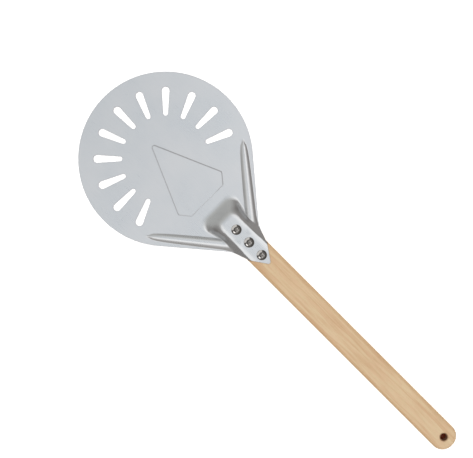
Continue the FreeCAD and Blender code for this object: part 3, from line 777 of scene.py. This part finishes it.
class Nodes:
    """Short forms for building a node tree."""

    def __init__(self, tree):
        self.tree = tree

    def add(self, kind, inputs=None, **settings):
        node = self.tree.nodes.new(kind)
        for key, value in settings.items():
            setattr(node, key, value)
        for key, value in (inputs or {}).items():
            socket = node.inputs[key]
            if isinstance(value, bpy.types.NodeSocket):
                self.tree.links.new(value, socket)
            else:
                socket.default_value = value
        return node

    def math(self, operation, *values):
        inputs = dict(enumerate(values))
        return self.add("ShaderNodeMath", inputs, operation=operation).outputs[0]

    def total(self, *terms):
        """The sum of (value, weight) terms."""
        values = [self.math("MULTIPLY", value, weight) for value, weight in terms]
        sum_so_far = values[0]
        for value in values[1:]:
            sum_so_far = self.math("ADD", sum_so_far, value)
        return sum_so_far

    def mark(self):
        """The value that the mesh carries at each point."""
        return self.add("ShaderNodeAttribute", attribute_name="mark").outputs["Fac"]

    def ramp(self, value, stops):
        """A colour that changes evenly between (place, colour or grey level) stops."""
        node = self.add("ShaderNodeValToRGB", {"Fac": value})
        elements = node.color_ramp.elements
        while len(elements) < len(stops):
            elements.new(0.5)
        for element, (place, colour) in zip(elements, stops):
            element.position = place
            if not isinstance(colour, tuple):
                colour = (colour, colour, colour)
            element.color = (*colour, 1.0)
        return node.outputs["Color"]

    def remap(self, value, low, high, to_low, to_high, smooth=False):
        """A value stretched from one range to another, and held at its ends."""
        node = self.add("ShaderNodeMapRange", {
            "Value": value, "From Min": low, "From Max": high, "To Min": to_low, "To Max": to_high,
        })
        node.interpolation_type = "SMOOTHSTEP" if smooth else "LINEAR"
        return node.outputs[0]

    def noise(self, vector, scale, detail=2.0, roughness=0.5, distortion=0.0):
        return self.add("ShaderNodeTexNoise", {
            "Vector": vector, "Scale": scale, "Detail": detail, "Roughness": roughness,
            "Distortion": distortion,
        }).outputs["Fac"]

    def stretched_noise(self, vector, scale, shift=(0, 0, 0), **settings):
        """Noise whose grain has its own scale along each axis."""
        vector = self.add("ShaderNodeMapping", {
            "Vector": vector, "Scale": scale, "Location": shift,
        }).outputs[0]
        return self.noise(vector, 1.0, **settings)

    def bump(self, height, strength, distance):
        return self.add("ShaderNodeBump", {
            "Height": height, "Strength": strength, "Distance": distance,
        }).outputs[0]

    def mix(self, factor, a, b, mode="MIX"):
        """Colour a blended towards colour b."""
        a, b = ((*v, 1.0) if isinstance(v, tuple) else v for v in (a, b))
        inputs = {MIX_FACTOR: factor, MIX_A: a, MIX_B: b}
        node = self.add("ShaderNodeMix", inputs, data_type="RGBA", blend_type=mode)
        return node.outputs[MIX_RESULT]


CUT_ALUMINIUM = (0.60, 0.60, 0.61)
SHADED_ALUMINIUM = (0.34, 0.33, 0.33)
WOOD_TONES = [
    (0.34, (0.570, 0.375, 0.210)), (0.45, (0.635, 0.445, 0.265)),
    (0.53, (0.670, 0.500, 0.305)), (0.66, (0.700, 0.545, 0.345)),
]
WOOD_BLUSH = (0.690, 0.445, 0.285)
WOOD_LINE = (0.50, 0.26, 0.12)
WOOD_EDGE_SHADE = (0.52, 0.31, 0.145)
WOOD_PORE = (0.40, 0.235, 0.125)
WOOD_BORE_SHADE = (0.20, 0.060, 0.020)


def start_material(name):
    """A new material, its node tree and shader, and the object's own coordinates in metres."""
    material = bpy.data.materials.new(name)
    material.use_nodes = True
    nodes = Nodes(material.node_tree)
    shader = material.node_tree.nodes["Principled BSDF"]
    where = nodes.add("ShaderNodeTexCoord").outputs["Object"]
    return material, nodes, shader, where


def wire(nodes, shader, **links):
    """Sets the shader's inputs, by links for sockets and directly for plain values."""
    for key, value in links.items():
        socket = shader.inputs[key.replace("_", " ")]
        if isinstance(value, bpy.types.NodeSocket):
            nodes.tree.links.new(value, socket)
        else:
            socket.default_value = value


def aluminium():
    """Satin aluminium: fine lengthwise brushing, faint mottling, marked edges, and painted shade
    along the panel's step and in the hollows beside the neck.
    """
    material, nodes, shader, where = start_material("satin_aluminium")
    brush = nodes.stretched_noise(where, (45, 2600, 2600), detail=3.0, roughness=0.6)
    grain = nodes.noise(where, 1500.0)
    cloud = nodes.noise(where, 14.0, 3.0, 0.55)
    mark = nodes.mark()
    tone = nodes.ramp(cloud, [(0.35, (0.800, 0.818, 0.832)), (0.65, (0.835, 0.840, 0.848))])
    streak = nodes.remap(brush, 0.3, 0.7, 0.975, 1.02)
    tone = nodes.mix(1.0, tone, nodes.ramp(streak, [(0.0, 0.0), (1.0, 1.0)]), "MULTIPLY")
    tone = nodes.mix(nodes.remap(mark, 0.0, 1.0, 0.0, 0.5), tone, CUT_ALUMINIUM)
    # negative marks darken the sheet with painted shade along the panel's step and in the hollows
    # beside the neck
    tone = nodes.mix(nodes.remap(mark, 0.0, -1.0, 0.0, 0.75), tone, SHADED_ALUMINIUM)
    rough = nodes.math(
        "ADD", nodes.remap(cloud, 0.3, 0.7, 0.28, 0.33), nodes.remap(brush, 0.3, 0.7, -0.03, 0.03)
    )
    bump = nodes.bump(nodes.total((brush, 0.6), (grain, 0.4)), 0.25, 0.00002)
    wire(nodes, shader, Base_Color=tone, Roughness=rough, Metallic=1.0, Normal=bump)
    return material


def ring_lines(nodes, where, y, z):
    """How strong the dark line of a year's growth is: thin lines that wander lengthwise."""
    drift = nodes.stretched_noise(where, (7, 3, 3), (0.0, 5.0, 0.0))
    phase = nodes.math("FRACT", nodes.total((y, 62.0), (z, 25.0), (drift, 1.8)))
    from_line = nodes.math("ABSOLUTE", nodes.math("SUBTRACT", phase, 0.5))
    return nodes.remap(from_line, 0.0, 0.07, 0.24, 0.0, smooth=True)


def rounded_edges(nodes, y, z):
    """How far each point lies along the bar's rounded long edges, where painted shade darkens the
    wood.
    """
    aside = nodes.remap(nodes.math("ABSOLUTE", y), 0.0108, 0.0145, 0.0, 1.0, smooth=True)
    level = nodes.math("ABSOLUTE", nodes.math("SUBTRACT", z, HANDLE_THICK / 2 * MM))
    return nodes.math("MULTIPLY", aside, nodes.remap(level, 0.001, 0.005, 0.0, 0.6, smooth=True))


def wood():
    """Sanded beech: lengthwise figure, growth lines, fine pores, and painted shade on the rounded
    edges and down the bores.
    """
    material, nodes, shader, where = start_material("oiled_beech")
    warp = nodes.stretched_noise(where, (5, 25, 25))
    wide = nodes.stretched_noise(where, (17, 230, 150), detail=3.0, roughness=0.55, distortion=0.3)
    fine = nodes.stretched_noise(where, (45, 800, 700), detail=3.0, roughness=0.6)
    blush = nodes.stretched_noise(
        where, (55, 260, 200), (3.0, 1.0, 2.0), detail=3.0, roughness=0.6, distortion=0.8
    )
    pores = nodes.stretched_noise(where, (260, 3600, 2600), detail=1.0)
    _, y, z = nodes.add("ShaderNodeSeparateXYZ", {"Vector": where}).outputs
    mark = nodes.mark()
    figure = nodes.total((wide, 0.62), (fine, 0.25), (warp, 0.13))
    tone = nodes.ramp(figure, WOOD_TONES)
    tone = nodes.mix(nodes.remap(blush, 0.42, 0.60, 0.0, 0.28, smooth=True), tone, WOOD_BLUSH)
    tone = nodes.mix(ring_lines(nodes, where, y, z), tone, WOOD_LINE)
    # painted shade on the rounded long edges, where the surface turns from the light
    tone = nodes.mix(rounded_edges(nodes, y, z), tone, WOOD_EDGE_SHADE)
    dots = nodes.remap(pores, 0.60, 0.74, 0.0, 0.26, smooth=True)
    tone = nodes.mix(dots, tone, WOOD_PORE)
    # painted shade deepening down the bores
    tone = nodes.mix(nodes.remap(mark, 0.0, 1.0, 0.0, 0.9, smooth=True), tone, WOOD_BORE_SHADE)
    rough = nodes.remap(figure, 0.3, 0.7, 0.62, 0.50)
    gloss = nodes.remap(mark, 0.0, 1.0, 0.35, 0.05)
    height = nodes.math("SUBTRACT", nodes.math("MULTIPLY", fine, 0.5), dots)
    bump = nodes.bump(height, 0.35, 0.00006)
    wire(
        nodes, shader, Base_Color=tone, Roughness=rough, Specular_IOR_Level=gloss, Normal=bump
    )
    return material


def chrome():
    """Polished plated steel with a faint haze, duller in the socket, which painted shade darkens.
    """
    material, nodes, shader, where = start_material("polished_screw")
    mark = nodes.mark()
    haze = nodes.noise(where, 900.0, 3.0, 0.6)
    tone = nodes.ramp(haze, [(0.3, (0.22, 0.21, 0.20)), (0.7, (0.29, 0.28, 0.27))])
    # painted shade darkens the socket
    in_socket = nodes.math("MULTIPLY", mark, 0.25)
    tone = nodes.mix(in_socket, tone, (0.16, 0.14, 0.12))
    rough = nodes.math("ADD", nodes.remap(haze, 0.3, 0.7, 0.07, 0.14), in_socket)
    bump = nodes.bump(haze, 0.1, 0.00002)
    wire(nodes, shader, Base_Color=tone, Roughness=rough, Metallic=1.0, Normal=bump)
    return material


def zinc():
    """Zinc-plated steel, slightly mottled."""
    material, nodes, shader, where = start_material("plated_nut")
    spangle = nodes.noise(where, 420.0, 3.0, 0.6)
    fine = nodes.noise(where, 3000.0)
    tone = nodes.ramp(spangle, [(0.3, (0.50, 0.51, 0.52)), (0.7, (0.63, 0.63, 0.62))])
    rough = nodes.remap(spangle, 0.3, 0.7, 0.28, 0.42)
    bump = nodes.bump(fine, 0.2, 0.00002)
    wire(nodes, shader, Base_Color=tone, Roughness=rough, Metallic=1.0, Normal=bump)
    return material


# ---------------------------------------------------------------- studio

def by_tilt(nodes, tilt, table):
    """A ramp over the share of a half turn, from a table in degrees from straight up."""
    return nodes.ramp(tilt, [(angle / 180, tone) for angle, tone in table])


def build_world():
    """A studio seen by the metal: a soft ceiling, brighter banks to the sides, dark low down."""
    world = bpy.data.worlds.new("studio")
    bpy.context.scene.world = world
    world.use_nodes = True
    nodes = Nodes(world.node_tree)
    background = world.node_tree.nodes["Background"]
    direction = nodes.add("ShaderNodeTexCoord").outputs["Generated"]
    x, y, z = nodes.add("ShaderNodeSeparateXYZ", {"Vector": direction}).outputs
    tilt = nodes.math("DIVIDE", nodes.math("ARCCOSINE", z), math.pi)
    # how long the direction's level part is
    level = nodes.math("SUBTRACT", 1.0, nodes.math("MULTIPLY", z, z))
    level = nodes.math("SQRT", nodes.math("MAXIMUM", level, 1e-6))
    # 1 towards the front, where the neck's slope looks, and 0 towards the sides and the back
    forward = nodes.math("DIVIDE", nodes.math("MULTIPLY", x, -1.0), level)
    forward = nodes.remap(forward, *FRONT_EXTENT, 0.0, 1.0, smooth=True)
    colour = nodes.mix(
        forward, by_tilt(nodes, tilt, SIDE_LIGHT), by_tilt(nodes, tilt, FRONT_LIGHT)
    )
    # brighter or darker towards +y
    lean = by_tilt(nodes, tilt, SIDE_LEAN)
    lean = nodes.math("MULTIPLY", y, nodes.math("SUBTRACT", nodes.math("MULTIPLY", lean, 2.0), 1.0))
    lean = nodes.math("ADD", lean, 1.0)
    # a bank of extra light low down between +x and -y
    bank = nodes.math("MULTIPLY", nodes.math("SUBTRACT", x, y), math.sqrt(0.5))
    bank = nodes.math("DIVIDE", bank, level)
    bank = nodes.remap(bank, *BANK_EXTENT, 0.0, BANK_STRENGTH, smooth=True)
    low_down = nodes.remap(tilt, *BANK_TILT, 0.0, 1.0, smooth=True)
    bank = nodes.math("MULTIPLY", bank, low_down)
    gain = nodes.math("MULTIPLY", lean, nodes.math("ADD", bank, 1.0))
    gain = nodes.add("ShaderNodeCombineXYZ", {0: gain, 1: gain, 2: gain}).outputs[0]
    colour = nodes.mix(1.0, colour, gain, "MULTIPLY")
    nodes.tree.links.new(colour, background.inputs["Color"])
    background.inputs["Strength"].default_value = 1.0


def sun(name, lean, heading, energy, spread):
    """A far, soft lamp: how far its source leans from overhead, and towards which heading."""
    data = bpy.data.lights.new(name, "SUN")
    data.energy = energy
    data.angle = math.radians(spread)
    lamp = put_in_scene(name, data)
    lamp.rotation_euler = (0, math.radians(lean), math.radians(heading))
    lamp.location = (0, 0, LAMP_HEIGHT)
    return lamp


def build_lamps(screws):
    """Soft light for the wood and the floor, and two glints that fall on the screws alone."""
    sun(*OVERHEAD).visible_glossy = False
    lit = bpy.data.collections.new("screws")
    for screw in screws:
        lit.objects.link(screw)
    for glint in SCREW_GLINTS:
        sun(*glint).light_linking.receiver_collection = lit


def pale_floor():
    """Pale and faintly glowing with painted light where it is open to the sky, and painted with a
    dark brown shadow where it is hemmed in.
    """
    material, nodes, shader, where = start_material("pale_floor")
    tone = nodes.ramp(nodes.noise(where, 3.0), [(0.3, 0.93), (0.7, 0.95)])
    open_sky = nodes.add(
        "ShaderNodeAmbientOcclusion", {"Distance": FLOOR_REACH}, samples=8
    ).outputs["AO"]
    # painted light: the floor glows where it is open; painted shadow: it turns dark brown where
    # hemmed in
    glow = nodes.remap(open_sky, *FLOOR_OPEN, 0.0, FLOOR_GLOW, smooth=True)
    painted_shadow = nodes.remap(open_sky, *FLOOR_OPEN, 1.0, 0.0, smooth=True)
    tone = nodes.mix(painted_shadow, tone, FLOOR_PAINTED_SHADOW)
    wire(
        nodes, shader, Base_Color=tone, Roughness=0.9, Specular_IOR_Level=0.1,
        Emission_Color=tone, Emission_Strength=glow,
    )
    return material


def pale_backdrop():
    """A plain white glow."""
    material = bpy.data.materials.new("pale_backdrop")
    material.use_nodes = True
    tree = material.node_tree
    tree.nodes.clear()
    emission = tree.nodes.new("ShaderNodeEmission")
    emission.inputs["Strength"].default_value = 1.0
    output = tree.nodes.new("ShaderNodeOutputMaterial")
    tree.links.new(emission.outputs[0], output.inputs[0])
    return material


def build_stage():
    """A pale floor, glowing with painted light in the open and painted with shadow where hemmed in,
    and a plain pale backdrop that only the camera sees.
    """
    mesh = bpy.data.meshes.new("floor")
    build = bmesh.new()
    bmesh.ops.create_circle(build, cap_ends=True, segments=96, radius=FLOOR_RADIUS)
    bmesh.ops.translate(build, verts=build.verts, vec=(0, 0, -FLOOR_DROP))
    build.to_mesh(mesh)
    build.free()
    mesh.materials.append(pale_floor())
    floor = put_in_scene("floor", mesh)
    floor.visible_glossy = False
    shell = bpy.data.meshes.new("backdrop")
    build = bmesh.new()
    bmesh.ops.create_uvsphere(build, u_segments=64, v_segments=32, radius=BACKDROP_RADIUS)
    build.to_mesh(shell)
    build.free()
    shell.materials.append(pale_backdrop())
    backdrop = put_in_scene("backdrop", shell)
    backdrop.visible_diffuse = False
    backdrop.visible_glossy = False
    backdrop.visible_transmission = False
    backdrop.visible_volume_scatter = False
    backdrop.visible_shadow = False


def build_camera():
    """Straight above the peel, turned so that the handle runs to the lower right."""
    data = bpy.data.cameras.new("camera")
    data.type = "PERSP"
    data.sensor_width = SENSOR_WIDTH
    data.lens = SENSOR_WIDTH * CAMERA_HEIGHT / VIEW_WIDTH
    data.clip_end = CAMERA_REACH
    camera = put_in_scene("camera", data)
    camera.location = (*CAMERA_PLACE, CAMERA_HEIGHT)
    camera.rotation_euler = (0, 0, CAMERA_TURN)
    bpy.context.scene.camera = camera


def finish_nuts(material):
    """Gives the barrel nuts, which stay as CAD nodes, their material."""
    for place in SCREW_NAMES:
        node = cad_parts["barrel_nut_" + place]
        node.data.materials.clear()
        node.data.materials.append(material)


def main():
    """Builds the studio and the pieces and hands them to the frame."""
    bpy.context.scene.view_settings.view_transform = "Standard"
    build_world()
    build_stage()
    build_camera()
    blade = build_blade(aluminium())
    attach(blade, "root")
    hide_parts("blade")
    handle = build_handle(wood())
    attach(handle, "root")
    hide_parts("handle")
    plating = chrome()
    screws = []
    for place, x in zip(SCREW_NAMES, SCREW_PLACES):
        screw = build_screw("peel_screw_" + place, x, plating)
        screws.append(screw)
        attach(screw, "root")
        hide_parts("screw_" + place)
    finish_nuts(zinc())
    build_lamps(screws)


main()
